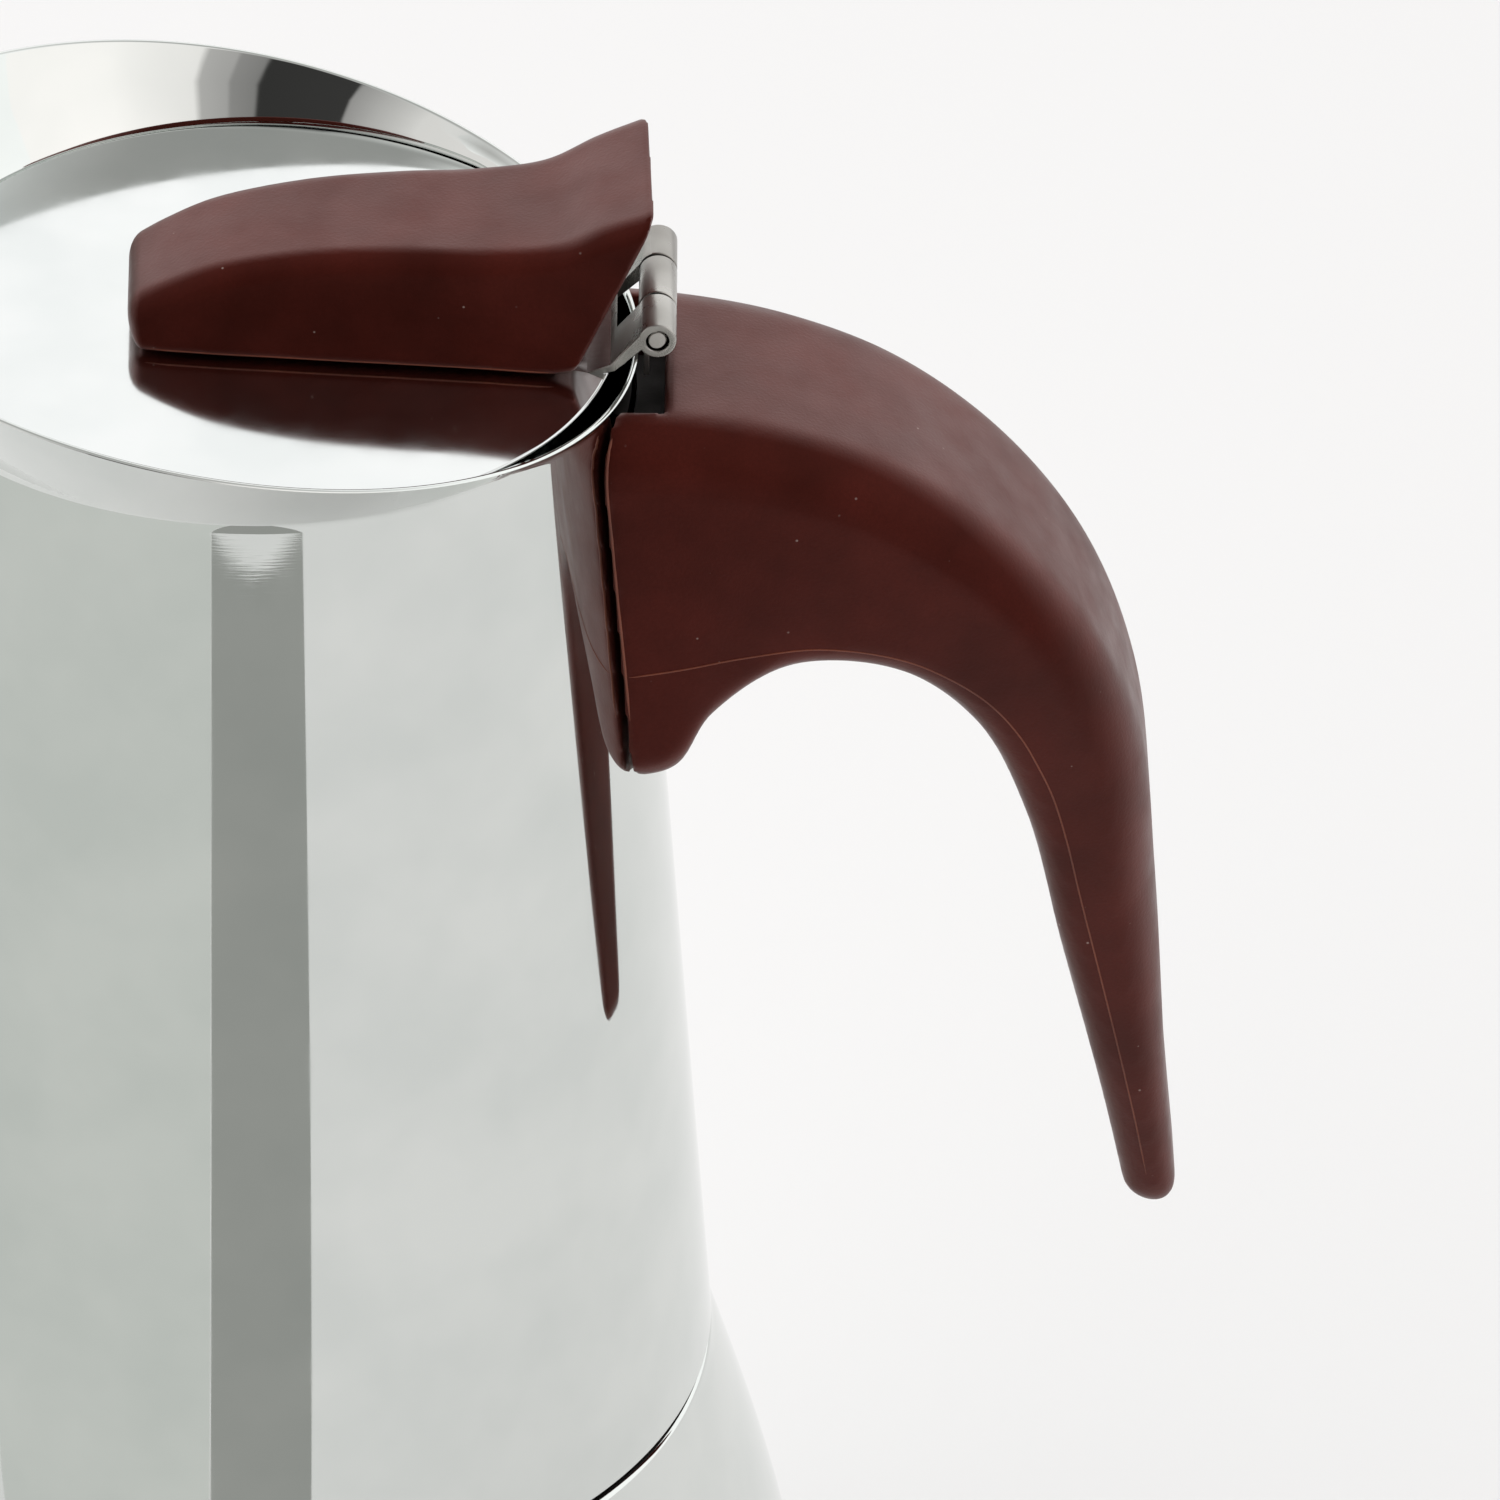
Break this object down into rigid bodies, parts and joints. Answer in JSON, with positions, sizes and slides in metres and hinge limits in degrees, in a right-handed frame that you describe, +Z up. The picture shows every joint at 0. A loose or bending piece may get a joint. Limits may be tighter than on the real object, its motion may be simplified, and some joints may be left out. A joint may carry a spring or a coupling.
{
  "type": "moka pot",
  "caption": "Stovetop coffee pot: threaded boiler with safety valve, lift-out funnel, gasket and filter plate, flared collector, hinged lid, curved handle.",
  "frame": {"origin": "centre of the underside of the base disc", "axes": "+Z up along the pot's axis, +X towards the handle, +Y towards the safety valve"},
  "size_m": [0.1355, 0.1126, 0.1949],
  "materials": {
    "polished_steel": "mirror-polished stainless steel",
    "satin_steel": "satin stainless steel",
    "brass": "machined brass",
    "fibre": "red fibre washer",
    "silicone": "off-white silicone",
    "brown_plastic": "dark red-brown moulded phenolic"
  },
  "bodies": {
    "boiler": {"base_disc": "satin_steel", "boiler_shell": "polished_steel", "valve_washer": "fibre", "valve_body": "brass", "valve_nut": "brass", "valve_cap": "brass", "valve_spring": "satin_steel"},
    "valve_plunger": {"valve_plunger": "satin_steel"},
    "funnel": {"funnel": "satin_steel", "funnel_screen": "satin_steel"},
    "gasket": {"gasket": "silicone"},
    "filter_plate": {"filter_plate": "satin_steel"},
    "collector": {"collector_shell": "polished_steel", "thread_ring": "satin_steel", "collector_floor": "satin_steel", "coffee_column": "satin_steel", "column_cap": "satin_steel", "handle_bracket": "satin_steel", "handle": "brown_plastic", "handle_screw": "satin_steel", "hinge_leaf": "satin_steel", "hinge_pin": "satin_steel"},
    "lid": {"lid": "polished_steel", "knob": "brown_plastic", "knob_screw_1": "satin_steel", "knob_screw_2": "satin_steel"}
  },
  "joints": [
    {"name": "valve_lift", "type": "slide", "parent": "boiler", "child": "valve_plunger", "axis": [0, 0.9861, 0.1664], "range_m": [0, 0.0012], "stiffness_N_per_m": 1000, "springref_m": -0.001, "deforming": ["valve_spring"]},
    {"name": "funnel_lift", "type": "slide", "parent": "boiler", "child": "funnel", "axis": [0, 0, 1], "range_m": [0, 0.085]},
    {"name": "screw_rise", "type": "slide", "parent": "funnel", "child": "gasket", "axis": [0, 0, 1], "range_m": [0, 0.0068]},
    {"name": "collector_turn", "type": "hinge", "parent": "gasket", "child": "filter_plate", "pos_m": [0, 0, 0.0832], "axis": [0, 0, 1], "range_deg": [0, 810]},
    {"name": "collector_lift", "type": "slide", "parent": "filter_plate", "child": "collector", "axis": [0, 0, 1], "range_m": [0, 0.03]},
    {"name": "lid_hinge", "type": "hinge", "parent": "collector", "child": "lid", "pos_m": [0.0343, 0, 0.1825], "axis": [0, 1, 0], "range_deg": [0, 105]}
  ],
  "couplings": [
    {"joint": "screw_rise", "follows": "collector_turn", "m_per_rad": 0.00047746}
  ]
}
